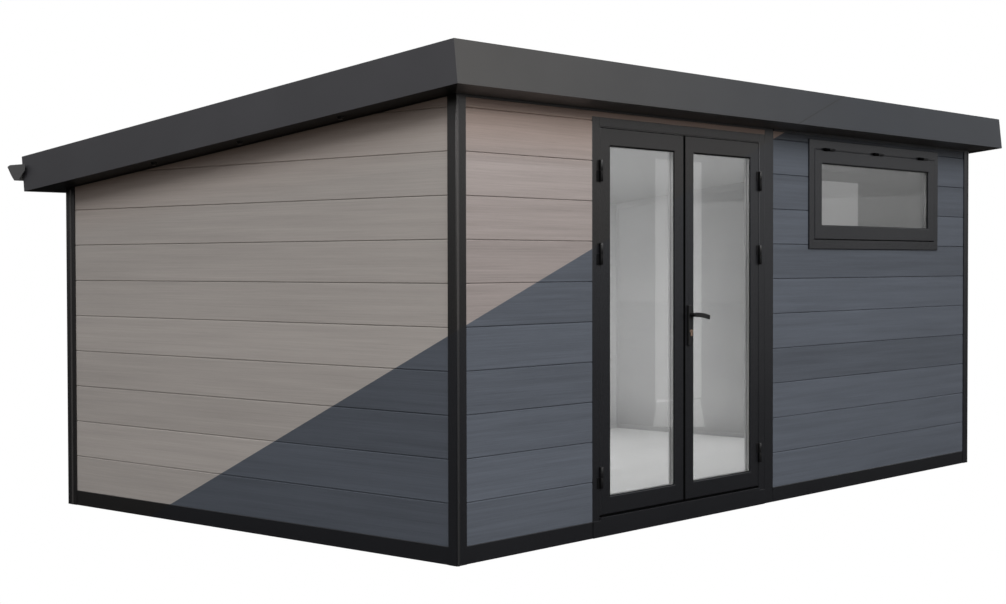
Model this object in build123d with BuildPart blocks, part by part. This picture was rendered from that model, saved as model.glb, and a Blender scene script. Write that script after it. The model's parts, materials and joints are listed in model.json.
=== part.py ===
from build123d import *
from math import cos, radians, sin, tan
import os

# Garden office pod, in millimetres. The origin is at the middle of the wall plan on the ground,
# +X runs to the right along the front, +Y to the back and +Z up.

# Plan and walls
wall_length = 5150
wall_depth = 3030
wall_thickness = 54
base_rail_height = 84
base_rail_proud = 3
base_rail_chamfer = 2
floor_thickness = 52

# Posts
post_size = 66
front_post_depth = 54
back_post_depth = 84
post_proud = 6
post_corner_radius = 4
board_seat = 5
door_post_width = 90
door_post_left = 2
door_post_proud = 1
door_post_radius = 1

# Roof, measured along its fall and square to it
roof_fall = radians(6.215)
front_overhang = 171
back_overhang = 170
side_overhang = 172
fascia_height = 201
fascia_sheet = 3
fascia_top_return = 45
soffit_gap = 2
deck_lift = 50
deck_thickness = 100
deck_skin = 3
deck_lip = 40
deck_rib_height = 28
deck_rib_foot = 70
deck_rib_crown = 32
deck_rib_count = 22
over_door_strip = 26
front_rail_show = 11
side_rail_show = 5

# Gutter
gutter_sheet = 2.5
gutter_drop = 6
gutter_flange = 24
gutter_width = 120
gutter_floor = 46
gutter_depth = 76
gutter_back_lean = 8
gutter_bend_out = 30
gutter_bend_rise = 30
gutter_lip = 12
gutter_end_reach = 22
gutter_cap = 3
gutter_cap_rise = 14
gutter_cap_tip_rise = 4
gutter_cap_tip = 26
gutter_cap_overlap = 55
outlet_radius = 22
outlet_wall = 2.5
outlet_length = 55
outlet_inset = 260

# Door frame
door_frame_width = 1586
door_frame_top = 2100
jamb_face = 59
head_face = 45
frame_depth = 70
frame_proud = 1
frame_edge = 2
stop_depth = 18
stop_reach = 20
threshold_height = 13
threshold_stop = 14
apron_depth = 5
apron_end_gap = 7

# Door leaves
leaf_gap = 6
leaf_foot_gap = 11
meeting_gap = 11
leaf_thickness = 45
leaf_stile = 82
leaf_top_rail = 89
leaf_bottom_rail = 90
leaf_edge = 3
bead_chamfer = 4
pane_setback = 7
pane_thickness = 24
pane_cover = 14
pane_room = 1

# Hinges of the door leaves
hinge_length = 108
hinge_radius = 9
hinge_pin_radius = 4.5
hinge_play = 0.1
hinge_axial_gap = 1
hinge_axis_reach = 10
hinge_plate = 2.5
hinge_plate_width = 26
hinge_cap = 3
hinge_foot_inset = 191
hinge_top_inset = 216
hinge_second_drop = 415

# Lock and lever
lever_height = 1096
cylinder_drop = 90
plate_length = 216
plate_width = 42
plate_thickness = 12
plate_rise = 51
plate_edge = 3
spindle_radius = 5
neck_radius = 11
neck_length = 38
neck_play = 0.5
lever_length = 124
lever_droop = 16
lever_bend_share = 0.25
lever_thickness = 12
lever_breadth = 25
lever_edge = 4
cylinder_radius = 11
cylinder_web = 14
cylinder_tail = 24
cylinder_reach = 4

# Window
window_left = 477
window_width = 1641
window_over_door = 4
window_height = 649
window_proud = 10
window_face = 54
sash_gap = 4
sash_member = 82
sash_thickness = 52
sash_proud = 3
sash_pane_setback = 13
window_stop = 16
window_hinge_length = 118
window_hinge_radius = 7
window_hinge_leaf = 9
window_hinge_plate = 2
window_hinge_shares = (0.13, 0.495, 0.861)

# Room left past a cut, so that the tool leaves the body cleanly
overrun = 20

# Derived places
half_length = wall_length / 2
half_depth = wall_depth / 2
fascia_y = -half_depth - front_overhang
fall_length = (front_overhang + wall_depth + back_overhang) / cos(roof_fall)
front_rail_foot = door_frame_top + over_door_strip
fascia_foot_height = front_rail_foot + front_rail_show + front_overhang * tan(roof_fall)
roof_half = half_length + side_overhang
post_inner = post_size - post_proud
front_inner = front_post_depth - post_proud
back_inner = back_post_depth - post_proud
seat_start = post_inner - board_seat
door_left = door_post_left - door_frame_width
door_post_right = door_post_left + door_post_width
frame_front = -half_depth - frame_proud
frame_back = frame_front + frame_depth
leaf_front = frame_front
leaf_back = leaf_front + leaf_thickness
stop_front = frame_back - stop_depth
deck_top = deck_lift + deck_thickness
post_front = -half_depth - post_proud


def soffit_z(y):
    """Height of the lower plane of the roof edge at depth y."""
    return fascia_foot_height - (y - fascia_y) * tan(roof_fall)


def deck_z(y):
    """Height of the underside of the roof deck at depth y."""
    return soffit_z(y) + deck_lift / cos(roof_fall)


def roof_point(along, above):
    """Depth and height of a point set along the fall and square above the soffit plane."""
    y = fascia_y + along * cos(roof_fall) + above * sin(roof_fall)
    z = fascia_foot_height - along * sin(roof_fall) + above * cos(roof_fall)
    return y, z


def facade(y):
    """Upright plane parallel to the front, drawn in x and z, extruded backwards by a minus."""
    return Plane.XZ.offset(-y)


def fall_profile(x):
    """Plane across the building, drawn along the fall and square to it."""
    return Plane(
        origin=(x, fascia_y, fascia_foot_height),
        x_dir=(0, cos(roof_fall), -sin(roof_fall)),
        z_dir=(1, 0, 0),
    )


def roof_section(along):
    """Plane square to the fall, drawn in x and above the soffit plane, facing the front."""
    y, z = roof_point(along, 0)
    return Plane(origin=(0, y, z), x_dir=(1, 0, 0), z_dir=(0, -cos(roof_fall), sin(roof_fall)))


def span(left, right, bottom, top, mode=Mode.ADD):
    """Rectangle between two corners, in the sketch that is being drawn."""
    with Locations(((left + right) / 2, (bottom + top) / 2)):
        Rectangle(right - left, top - bottom, mode=mode)


def outline(points):
    """Closed face through corner points, in the sketch that is being drawn."""
    Polygon(*points, align=None)


def save(builder, name):
    """Labels a finished sub-part and writes it as one STEP file."""
    builder.part.label = name
    export_step(builder.part, f"parts/{name}.step")


os.makedirs("parts", exist_ok=True)


# Base and floor

def base_rail(name, sections):
    """Rails along the front or the back, from x to x, outside face at the given side."""
    with BuildPart() as rail:
        for left, right, outer, inner in sections:
            with BuildSketch(Plane.XY):
                span(left, right, min(outer, inner), max(outer, inner))
            extrude(amount=base_rail_height)
        top_edges = rail.faces().sort_by(Axis.Z)[-len(sections):].edges()
        chamfer(top_edges, base_rail_chamfer)
    save(rail, name)


rail_outer_y = half_depth + base_rail_proud
rail_inner_y = half_depth - post_inner
rail_outer_x = half_length + base_rail_proud
rail_inner_x = half_length - post_inner
side_front = -half_depth + front_inner
side_back = half_depth - back_inner
base_rail("base_rail_front", (
    (-rail_inner_x, door_post_left, -rail_outer_y, -rail_inner_y),
    (door_post_right, rail_inner_x, -rail_outer_y, -rail_inner_y),
))
base_rail("base_rail_back", ((-rail_inner_x, rail_inner_x, rail_outer_y, rail_inner_y),))
base_rail("base_rail_left", ((-rail_outer_x, -rail_inner_x, side_front, side_back),))
base_rail("base_rail_right", ((rail_inner_x, rail_outer_x, side_front, side_back),))

with BuildPart() as floor:
    with BuildSketch(Plane.XY):
        Rectangle(2 * rail_inner_x, 2 * rail_inner_y)
    extrude(amount=floor_thickness)
save(floor, "floor")


# Posts

deck_plane = Plane(
    origin=(0, fascia_y, deck_z(fascia_y)),
    x_dir=(1, 0, 0),
    z_dir=(0, sin(roof_fall), cos(roof_fall)),
)


def corner_post(name, side_x, side_y, depth):
    """Post with a rounded outer corner and a channel for each of its two walls."""
    mid_x = side_x * (half_length + post_proud - post_size / 2)
    mid_y = side_y * (half_depth + post_proud - depth / 2)
    seat_x = side_x * (half_length - post_inner + board_seat / 2)
    seat_y = side_y * (half_depth + post_proud - depth + board_seat / 2)
    with BuildPart() as post:
        with BuildSketch(Plane.XY):
            with Locations((mid_x, mid_y)):
                Rectangle(post_size, depth)
            corner = vertices().sort_by(lambda v: v.X * side_x + v.Y * side_y)[-1]
            fillet(corner, post_corner_radius)
            with Locations((seat_x, side_y * (half_depth - wall_thickness / 2))):
                Rectangle(board_seat, wall_thickness, mode=Mode.SUBTRACT)
            with Locations((side_x * (half_length - seat_start / 2), seat_y)):
                Rectangle(seat_start, board_seat, mode=Mode.SUBTRACT)
        extrude(amount=deck_z(fascia_y))
        split(bisect_by=deck_plane, keep=Keep.BOTTOM)
    save(post, name)


corner_post("front_left_post", -1, -1, front_post_depth)
corner_post("front_right_post", 1, -1, front_post_depth)
corner_post("back_left_post", -1, 1, back_post_depth)
corner_post("back_right_post", 1, 1, back_post_depth)

with BuildPart() as door_post:
    with BuildSketch(Plane.XY):
        span(door_post_left, door_post_right, -half_depth - door_post_proud, -half_depth + post_inner)
        fillet(vertices().group_by(Axis.Y)[0], door_post_radius)
        span(
            door_post_right - board_seat,
            door_post_right,
            -half_depth,
            -half_depth + wall_thickness,
            mode=Mode.SUBTRACT,
        )
    extrude(amount=deck_z(fascia_y))
    split(bisect_by=deck_plane, keep=Keep.BOTTOM)
save(door_post, "door_post")


# Walls, seated in the channels of the posts

back_rail_foot = soffit_z(half_depth) - front_rail_show
window_right = window_left + window_width
window_top = door_frame_top + window_over_door
window_foot = window_top - window_height


def side_wall_top(y):
    """Height of the top of a side wall, parallel to the roof."""
    return soffit_z(y) - side_rail_show / cos(roof_fall)


def side_wall(name, side):
    """Wall whose top follows the fall of the roof."""
    front = side_front - board_seat
    back = side_back + board_seat
    outer = side * half_length
    with BuildPart() as wall:
        with BuildSketch(Plane.YZ.offset(outer)):
            outline((
                (front, base_rail_height),
                (back, base_rail_height),
                (back, side_wall_top(back)),
                (front, side_wall_top(front)),
            ))
        extrude(amount=-side * wall_thickness)
    save(wall, name)


side_wall("left_wall", -1)
side_wall("right_wall", 1)

with BuildPart() as back_wall:
    with BuildSketch(facade(half_depth)):
        span(-half_length + seat_start, half_length - seat_start, base_rail_height, back_rail_foot)
    extrude(amount=wall_thickness)
save(back_wall, "back_wall")

with BuildPart() as front_wall_left:
    with BuildSketch(facade(-half_depth)):
        span(-half_length + seat_start, door_left, base_rail_height, front_rail_foot)
    extrude(amount=-wall_thickness)
save(front_wall_left, "front_wall_left")

with BuildPart() as front_wall_right:
    with BuildSketch(facade(-half_depth)):
        span(door_post_right - board_seat, half_length - seat_start, base_rail_height, front_rail_foot)
        span(window_left, window_right, window_foot, window_top, mode=Mode.SUBTRACT)
    extrude(amount=-wall_thickness)
save(front_wall_right, "front_wall_right")

with BuildPart() as wall_over_door:
    with BuildSketch(facade(-half_depth)):
        span(door_left, door_post_left, door_frame_top, front_rail_foot)
    extrude(amount=-wall_thickness)
save(wall_over_door, "wall_over_door")


# Top rails between the walls and the roof deck

def cross_rail(name, runs, outer, inner, foot):
    """Rails along the front or the back, with the fall of the roof on top."""
    with BuildPart() as rail:
        for left, right in runs:
            with BuildSketch(Plane.YZ.offset(left)):
                outline((
                    (outer, foot),
                    (inner, foot),
                    (inner, deck_z(inner)),
                    (outer, deck_z(outer)),
                ))
            extrude(amount=right - left)
    save(rail, name)


def fall_rail(name, side):
    """Rail along the top of a side wall, following the fall."""
    outer = side * (half_length + post_proud)
    front = side_front
    back = side_back
    with BuildPart() as rail:
        with BuildSketch(Plane.YZ.offset(outer)):
            outline((
                (front, side_wall_top(front)),
                (back, side_wall_top(back)),
                (back, deck_z(back)),
                (front, deck_z(front)),
            ))
        extrude(amount=-side * post_size)
    save(rail, name)


front_runs = ((-rail_inner_x, door_post_left), (door_post_right, rail_inner_x))
cross_rail("front_top_rails", front_runs, post_front, -rail_inner_y, front_rail_foot)
cross_rail("back_top_rail", ((-rail_inner_x, rail_inner_x),), -post_front, rail_inner_y, back_rail_foot)
fall_rail("left_top_rail", -1)
fall_rail("right_top_rail", 1)


# Roof deck with pressed ribs, and a lip of its skin over the gutter

deck_half = roof_half - fascia_sheet
deck_run = fall_length - fascia_sheet
rib_pitch = 2 * deck_half / deck_rib_count
rib_rise = deck_top + deck_rib_height
rib_outline = [(-deck_half, deck_lift), (deck_half, deck_lift), (deck_half, deck_top)]
for rib in range(deck_rib_count):
    crown = deck_half - (rib + 0.5) * rib_pitch
    rib_outline += [
        (crown + deck_rib_foot / 2, deck_top),
        (crown + deck_rib_crown / 2, rib_rise),
        (crown - deck_rib_crown / 2, rib_rise),
        (crown - deck_rib_foot / 2, deck_top),
    ]
rib_outline.append((-deck_half, deck_top))

with BuildPart() as roof_deck:
    with BuildSketch(roof_section(fascia_sheet)):
        outline(rib_outline)
    extrude(amount=-(deck_run + deck_lip))
    with BuildSketch(roof_section(deck_run)):
        span(-roof_half, roof_half, deck_lift - overrun, deck_top - deck_skin)
    extrude(amount=-(deck_lip + overrun), mode=Mode.SUBTRACT)
save(roof_deck, "roof_deck")


# Fascia, folded from sheet with a soffit return below and a short return on top

def mitre(side):
    """Upright plane through a front corner of the roof, halfway between the two fascias."""
    return Plane(
        origin=(side * roof_half, fascia_y, fascia_foot_height),
        x_dir=(0, sin(roof_fall), cos(roof_fall)),
        z_dir=(-side, -cos(roof_fall), sin(roof_fall)),
    )


def folded(outer, soffit, facing):
    """Folded section: web, soffit return and top return, opening towards the roof."""
    web = outer + facing * fascia_sheet
    top = outer + facing * fascia_top_return
    return (
        (outer, 0),
        (outer + facing * soffit, 0),
        (outer + facing * soffit, fascia_sheet),
        (web, fascia_sheet),
        (web, fascia_height - fascia_sheet),
        (top, fascia_height - fascia_sheet),
        (top, fascia_height),
        (outer, fascia_height),
    )


front_soffit = (front_overhang - post_proud) / cos(roof_fall) - soffit_gap
side_soffit = side_overhang - post_proud - soffit_gap
back_soffit = fall_length - (front_overhang + wall_depth + post_proud) / cos(roof_fall) - soffit_gap

with BuildPart() as front_fascia:
    with BuildSketch(fall_profile(-roof_half)):
        outline(folded(0, front_soffit, 1))
    extrude(amount=2 * roof_half)
    split(bisect_by=mitre(-1), keep=Keep.TOP)
    split(bisect_by=mitre(1), keep=Keep.TOP)
save(front_fascia, "front_fascia")


def side_fascia(name, side):
    """Fascia down one side, mitred to the front one."""
    with BuildPart() as fascia:
        with BuildSketch(roof_section(0)):
            outline(folded(side * roof_half, side_soffit, -side))
        extrude(amount=-fall_length)
        split(bisect_by=mitre(side), keep=Keep.BOTTOM)
    save(fascia, name)


side_fascia("left_fascia", -1)
side_fascia("right_fascia", 1)

back_fascia_half = roof_half - side_soffit
with BuildPart() as back_fascia:
    with BuildSketch(fall_profile(-deck_half)):
        span(deck_run, fall_length, fascia_sheet, deck_top - deck_skin)
    extrude(amount=2 * deck_half)
    with BuildSketch(fall_profile(-back_fascia_half)):
        span(fall_length - back_soffit, fall_length, 0, fascia_sheet)
    extrude(amount=2 * back_fascia_half)
save(back_fascia, "back_fascia")


# Gutter on the back fascia, closed by a cap at each end

flange_top = deck_top - deck_skin - gutter_drop
flange_y, gutter_top = roof_point(fall_length, flange_top)
flange_foot_y, flange_foot_z = roof_point(fall_length, flange_top - gutter_flange)
gutter_foot = gutter_top - gutter_depth
gutter_back = flange_foot_y + gutter_back_lean
gutter_front = flange_y + gutter_width
gutter_toe = gutter_back + gutter_floor
gutter_bend = (gutter_toe + gutter_bend_out, gutter_foot + gutter_bend_rise)
gutter_line = (
    (flange_y, gutter_top),
    (flange_foot_y, flange_foot_z),
    (gutter_back, gutter_foot),
    (gutter_toe, gutter_foot),
    gutter_bend,
    (gutter_front, gutter_top),
    (gutter_front - gutter_lip, gutter_top),
)
cap_top = gutter_top + gutter_cap_rise
cap_start = flange_y - gutter_cap_overlap
cap_line = (
    (cap_start, cap_top),
    (cap_start, flange_foot_z),
    (gutter_back, gutter_foot),
    (gutter_toe, gutter_foot),
    gutter_bend,
    (gutter_front, gutter_top + gutter_cap_tip_rise),
    (gutter_front - gutter_cap_tip, cap_top),
)
gutter_half = roof_half + gutter_end_reach - gutter_cap
outlet_x = gutter_half - outlet_inset
outlet_y = gutter_back + gutter_floor / 2

with BuildPart() as gutter:
    with BuildSketch(Plane.YZ.offset(-gutter_half)):
        with BuildLine():
            path = Polyline(*gutter_line)
            offset(path, amount=gutter_sheet, side=Side.RIGHT, kind=Kind.INTERSECTION)
        make_face()
    extrude(amount=2 * gutter_half)
    with BuildSketch(Plane.XY.offset(gutter_foot)):
        with Locations((outlet_x, outlet_y)):
            Circle(outlet_radius)
    extrude(amount=-outlet_length)
    with BuildSketch(Plane.XY.offset(gutter_foot - outlet_length)):
        with Locations((outlet_x, outlet_y)):
            Circle(outlet_radius - outlet_wall)
    extrude(amount=outlet_length + gutter_sheet, mode=Mode.SUBTRACT)
save(gutter, "gutter")

with BuildPart() as gutter_end_caps:
    for start, run in ((-gutter_half, -gutter_cap), (gutter_half, gutter_cap)):
        with BuildSketch(Plane.YZ.offset(start)):
            outline(cap_line)
        extrude(amount=run)
save(gutter_end_caps, "gutter_end_caps")


# Door frame: jambs and head with a stop behind the leaves, and a threshold with an apron below

door_right = door_post_left
jamb_left_edge = door_left + jamb_face
jamb_right_edge = door_right - jamb_face
head_foot = door_frame_top - head_face
threshold_top = base_rail_height + threshold_height


def jamb(name, outer, inward):
    """Upright of the door frame, its stop standing behind the leaf."""
    edge = outer + inward * jamb_face
    stop_edge = edge + inward * stop_reach
    with BuildPart() as upright:
        with BuildSketch(Plane.XY.offset(base_rail_height)):
            span(min(outer, edge), max(outer, edge), frame_front, frame_back)
            fillet(vertices().group_by(Axis.Y)[0], frame_edge)
        extrude(amount=door_frame_top - base_rail_height)
        with BuildSketch(Plane.XY.offset(threshold_top + threshold_stop)):
            span(min(edge, stop_edge), max(edge, stop_edge), stop_front, frame_back)
        extrude(amount=head_foot - stop_reach - threshold_top - threshold_stop)
    save(upright, name)


jamb("door_left_jamb", door_left, 1)
jamb("door_right_jamb", door_right, -1)

with BuildPart() as door_head:
    with BuildSketch(Plane.YZ.offset(jamb_left_edge)):
        span(frame_front, frame_back, head_foot, door_frame_top)
        fillet(vertices().group_by(Axis.X)[0], frame_edge)
        span(stop_front, frame_back, head_foot - stop_reach, head_foot)
    extrude(amount=jamb_right_edge - jamb_left_edge)
save(door_head, "door_head")

apron_back = -half_depth - base_rail_proud
apron_front = apron_back - apron_depth
with BuildPart() as door_threshold:
    with BuildSketch(Plane.YZ.offset(jamb_left_edge)):
        outline((
            (apron_front, base_rail_height),
            (frame_back, base_rail_height),
            (frame_back, threshold_top + threshold_stop),
            (stop_front, threshold_top + threshold_stop),
            (stop_front, threshold_top),
            (apron_front, threshold_top),
        ))
    extrude(amount=jamb_right_edge - jamb_left_edge)
    with BuildSketch(Plane.XY):
        span(door_left, door_right - apron_end_gap, apron_front, apron_back)
    extrude(amount=base_rail_height)
save(door_threshold, "door_threshold")


# Door leaves: a frame grooved for its sealed pane

leaf_foot = threshold_top + leaf_foot_gap
leaf_top = head_foot - leaf_gap
left_leaf_start = jamb_left_edge + leaf_gap
right_leaf_end = jamb_right_edge - leaf_gap
leaves_width = right_leaf_end - left_leaf_start - meeting_gap
left_leaf_end = left_leaf_start + leaves_width / 2
right_leaf_start = left_leaf_end + meeting_gap
meeting_stile_mid = right_leaf_start + leaf_stile / 2
cylinder_height = lever_height - cylinder_drop


def pane_frame(name, left, right, foot, top, front, thickness, setback, members, bores=()):
    """Frame with a bevelled bead round its opening, a groove for the pane and bores through it."""
    stile, bottom_rail, top_rail = members
    glass_left = left + stile
    glass_right = right - stile
    glass_foot = foot + bottom_rail
    glass_top = top - top_rail
    groove = pane_cover + pane_room
    with BuildPart() as frame:
        with BuildSketch(facade(front)):
            span(left, right, foot, top)
            span(glass_left, glass_right, glass_foot, glass_top, mode=Mode.SUBTRACT)
        extrude(amount=-thickness)
        front_face = frame.faces().sort_by(Axis.Y)[0]
        bead = front_face.inner_wires()[0].edges()
        rim = front_face.outer_wire().edges()
        chamfer(bead, bead_chamfer)
        chamfer(rim, leaf_edge)
        with BuildSketch(facade(front + setback)):
            span(glass_left - groove, glass_right + groove, glass_foot - groove, glass_top + groove)
        extrude(amount=-pane_thickness, mode=Mode.SUBTRACT)
        for bore_x, bore_z, radius in bores:
            with BuildSketch(facade(front)):
                with Locations((bore_x, bore_z)):
                    Circle(radius)
            extrude(amount=-thickness, mode=Mode.SUBTRACT)
    save(frame, name)


def pane(name, left, right, foot, top, front, setback, members):
    """Sealed pane, held by the groove of its frame."""
    stile, bottom_rail, top_rail = members
    with BuildPart() as glass:
        with BuildSketch(facade(front + setback)):
            span(
                left + stile - pane_cover,
                right - stile + pane_cover,
                foot + bottom_rail - pane_cover,
                top - top_rail + pane_cover,
            )
        extrude(amount=-pane_thickness)
    save(glass, name)


leaf_members = (leaf_stile, leaf_bottom_rail, leaf_top_rail)
left_leaf = (left_leaf_start, left_leaf_end, leaf_foot, leaf_top, leaf_front)
right_leaf = (right_leaf_start, right_leaf_end, leaf_foot, leaf_top, leaf_front)

spindle_bore = (meeting_stile_mid, lever_height, spindle_radius + neck_play)
pane_frame("left_door_frame", *left_leaf, leaf_thickness, pane_setback, leaf_members)
pane_frame("right_door_frame", *right_leaf, leaf_thickness, pane_setback, leaf_members, (spindle_bore,))
pane("left_door_glass", *left_leaf, pane_setback, leaf_members)
pane("right_door_glass", *right_leaf, pane_setback, leaf_members)


# Door hinges: the lower half with its pin is on the jamb, the upper half is on the leaf

hinge_y = leaf_front - hinge_axis_reach
hinge_half = (hinge_length - hinge_axial_gap) / 2
hinge_top = leaf_top - hinge_top_inset
hinge_heights = (leaf_foot + hinge_foot_inset, hinge_top - hinge_second_drop, hinge_top)


def hinge_halves(side_name, axis_x, jamb_way):
    """Three hinges of one leaf, as a node of jamb halves and a node of leaf halves."""
    with BuildPart() as jamb_halves:
        for middle in hinge_heights:
            foot = middle - hinge_length / 2
            with BuildSketch(Plane.XY.offset(foot)):
                with Locations((axis_x, hinge_y)):
                    Circle(hinge_radius)
                plate_end = axis_x + jamb_way * hinge_plate_width
                span(min(axis_x, plate_end), max(axis_x, plate_end), frame_front - hinge_plate, frame_front)
            extrude(amount=hinge_half)
            with BuildSketch(Plane.XY.offset(foot + hinge_half)):
                with Locations((axis_x, hinge_y)):
                    Circle(hinge_pin_radius)
            extrude(amount=hinge_half - hinge_cap)
    save(jamb_halves, f"{side_name}_jamb_hinges")
    with BuildPart() as leaf_halves:
        for middle in hinge_heights:
            foot = middle + hinge_length / 2 - hinge_half
            with BuildSketch(Plane.XY.offset(foot)):
                with Locations((axis_x, hinge_y)):
                    Circle(hinge_radius)
                plate_end = axis_x - jamb_way * hinge_plate_width
                span(min(axis_x, plate_end), max(axis_x, plate_end), leaf_front - hinge_plate, leaf_front)
            extrude(amount=hinge_half)
            with BuildSketch(Plane.XY.offset(foot)):
                with Locations((axis_x, hinge_y)):
                    Circle(hinge_pin_radius + hinge_play)
            extrude(amount=hinge_half - hinge_cap, mode=Mode.SUBTRACT)
    save(leaf_halves, f"{side_name}_leaf_hinges")


hinge_halves("left", left_leaf_start - leaf_gap / 2, -1)
hinge_halves("right", right_leaf_end + leaf_gap / 2, 1)


# Lock: a long plate on each face, the profile cylinder, and one lever with two arms

plate_foot = lever_height + plate_rise - plate_length
outer_plate_front = leaf_front - plate_thickness
inner_plate_back = leaf_back + plate_thickness

with BuildPart() as handle_plates:
    for start, way in ((leaf_front, 1), (leaf_back, -1)):
        with BuildSketch(facade(start)):
            span(
                meeting_stile_mid - plate_width / 2,
                meeting_stile_mid + plate_width / 2,
                plate_foot,
                plate_foot + plate_length,
            )
            fillet(vertices(), plate_edge)
            with Locations((meeting_stile_mid, lever_height)):
                Circle(neck_radius + neck_play, mode=Mode.SUBTRACT)
        extrude(amount=way * plate_thickness)
    chamfer(handle_plates.faces().sort_by(Axis.Y)[0].outer_wire().edges(), plate_edge / 2)
    chamfer(handle_plates.faces().sort_by(Axis.Y)[-1].outer_wire().edges(), plate_edge / 2)
save(handle_plates, "handle_plates")

with BuildPart() as lock_cylinder:
    for start, way in ((outer_plate_front, 1), (inner_plate_back, -1)):
        with BuildSketch(facade(start)):
            with Locations((meeting_stile_mid, cylinder_height)):
                Circle(cylinder_radius)
            span(
                meeting_stile_mid - cylinder_web / 2,
                meeting_stile_mid + cylinder_web / 2,
                cylinder_height - cylinder_tail,
                cylinder_height,
            )
        extrude(amount=way * cylinder_reach)
save(lock_cylinder, "lock_cylinder")

with BuildPart() as lever_handle:
    with BuildSketch(facade(outer_plate_front - neck_length)):
        with Locations((meeting_stile_mid, lever_height)):
            Circle(spindle_radius)
    extrude(amount=-(inner_plate_back - outer_plate_front + 2 * neck_length))
    for start, way in ((leaf_front, 1), (leaf_back, -1)):
        with BuildSketch(facade(start)):
            with Locations((meeting_stile_mid, lever_height)):
                Circle(neck_radius)
        extrude(amount=way * (plate_thickness + neck_length))
        arm_y = start - way * (plate_thickness + neck_length - lever_thickness / 2)
        with BuildLine(facade(arm_y)):
            Spline(
                (meeting_stile_mid, lever_height),
                (meeting_stile_mid + lever_length / 2, lever_height - lever_bend_share * lever_droop),
                (meeting_stile_mid + lever_length, lever_height - lever_droop),
            )
        with BuildSketch(Plane.YZ.offset(meeting_stile_mid)):
            with Locations((arm_y, lever_height)):
                RectangleRounded(lever_thickness, lever_breadth, lever_edge)
        sweep()
save(lever_handle, "lever_handle")


# Window: fixed frame with a stop, top-hung sash, pane and three small hinges

opening_left = window_left + window_face
opening_right = window_right - window_face
opening_foot = window_foot + window_face
opening_top = window_top - window_face
window_front = -half_depth - window_proud
window_back = window_front + frame_depth
sash_front = window_front - sash_proud
sash_back = sash_front + sash_thickness

with BuildPart() as window_frame:
    with BuildSketch(facade(window_front)):
        span(window_left, window_right, window_foot, window_top)
        span(opening_left, opening_right, opening_foot, opening_top, mode=Mode.SUBTRACT)
    extrude(amount=-frame_depth)
    chamfer(window_frame.faces().sort_by(Axis.Y)[0].outer_wire().edges(), frame_edge)
    with BuildSketch(facade(sash_back)):
        span(opening_left, opening_right, opening_foot, opening_top)
        span(
            opening_left + window_stop,
            opening_right - window_stop,
            opening_foot + window_stop,
            opening_top - window_stop,
            mode=Mode.SUBTRACT,
        )
    extrude(amount=-(window_back - sash_back))
save(window_frame, "window_frame")

sash = (
    opening_left + sash_gap,
    opening_right - sash_gap,
    opening_foot + sash_gap,
    opening_top - sash_gap,
    sash_front,
)
sash_members = (sash_member, sash_member, sash_member)
pane_frame("window_sash", *sash, sash_thickness, sash_pane_setback, sash_members)
pane("window_glass", *sash, sash_pane_setback, sash_members)

hinge_z = opening_top - sash_gap / 2
with BuildPart() as window_hinges:
    for share in window_hinge_shares:
        middle = window_left + share * window_width
        with BuildSketch(Plane.YZ.offset(middle - window_hinge_length / 2)):
            with Locations((sash_front - window_hinge_radius, hinge_z)):
                Circle(window_hinge_radius)
            span(sash_front - window_hinge_plate, sash_front, hinge_z - window_hinge_leaf, hinge_z)
            span(sash_front - window_hinge_plate, window_front, hinge_z, hinge_z + window_hinge_leaf)
        extrude(amount=window_hinge_length)
save(window_hinges, "window_hinges")
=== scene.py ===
import json
import random
from math import cos, pi, radians, sin

import bmesh
import bpy
from mathutils import Matrix, Vector

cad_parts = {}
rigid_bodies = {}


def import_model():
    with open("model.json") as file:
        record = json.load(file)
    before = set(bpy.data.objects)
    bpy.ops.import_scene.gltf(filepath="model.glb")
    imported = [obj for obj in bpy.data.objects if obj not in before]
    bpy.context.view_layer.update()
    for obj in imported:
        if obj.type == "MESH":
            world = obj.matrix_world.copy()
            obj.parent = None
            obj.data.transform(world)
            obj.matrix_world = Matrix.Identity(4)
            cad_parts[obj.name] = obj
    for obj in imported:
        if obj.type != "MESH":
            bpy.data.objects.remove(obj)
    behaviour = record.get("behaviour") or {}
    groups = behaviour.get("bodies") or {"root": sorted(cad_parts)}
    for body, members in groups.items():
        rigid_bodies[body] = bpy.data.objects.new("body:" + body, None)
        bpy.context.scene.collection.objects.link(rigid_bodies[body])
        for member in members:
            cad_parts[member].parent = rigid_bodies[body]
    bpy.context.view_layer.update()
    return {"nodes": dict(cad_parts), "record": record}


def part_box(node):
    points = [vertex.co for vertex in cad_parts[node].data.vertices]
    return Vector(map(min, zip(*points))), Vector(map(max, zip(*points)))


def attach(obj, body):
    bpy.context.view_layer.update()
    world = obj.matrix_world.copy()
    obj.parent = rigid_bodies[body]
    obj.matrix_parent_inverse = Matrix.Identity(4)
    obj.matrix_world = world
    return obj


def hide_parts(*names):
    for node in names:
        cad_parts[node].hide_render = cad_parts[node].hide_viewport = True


BOARD_SEED = 11

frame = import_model()
nodes = frame["nodes"]
scene = bpy.context.scene
draw = random.Random(BOARD_SEED)

# Camera, fitted to the board joints of both walls in the photograph
IMAGE_WIDTH = 1006
IMAGE_HEIGHT = 604
FOCAL_PIXELS = 1649.1
SENSOR_WIDTH = 36.0
VIEW_REACH = 200
CAMERA_PLACE = Vector((-8.033, -6.576, 1.367))
CAMERA_YAW = 0.8514
CAMERA_PITCH = -0.0228
CAMERA_ROLL = 0.0022

# Changes of finish over the part, and painted light and shade on it
TONE_LINE_PIXELS = ((204, 483.9), (840, 98.7))
FINISH_BLEND = 0.002
FINISH_SHADOW_LINE = 0.004
FRONT_LIGHT_RUN = (-2.7, 0.9)
LINING_BLEND = 0.001
EAVES_SHADE = 0.3
LOOKS_DOWN = (-0.9, -0.7)

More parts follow.
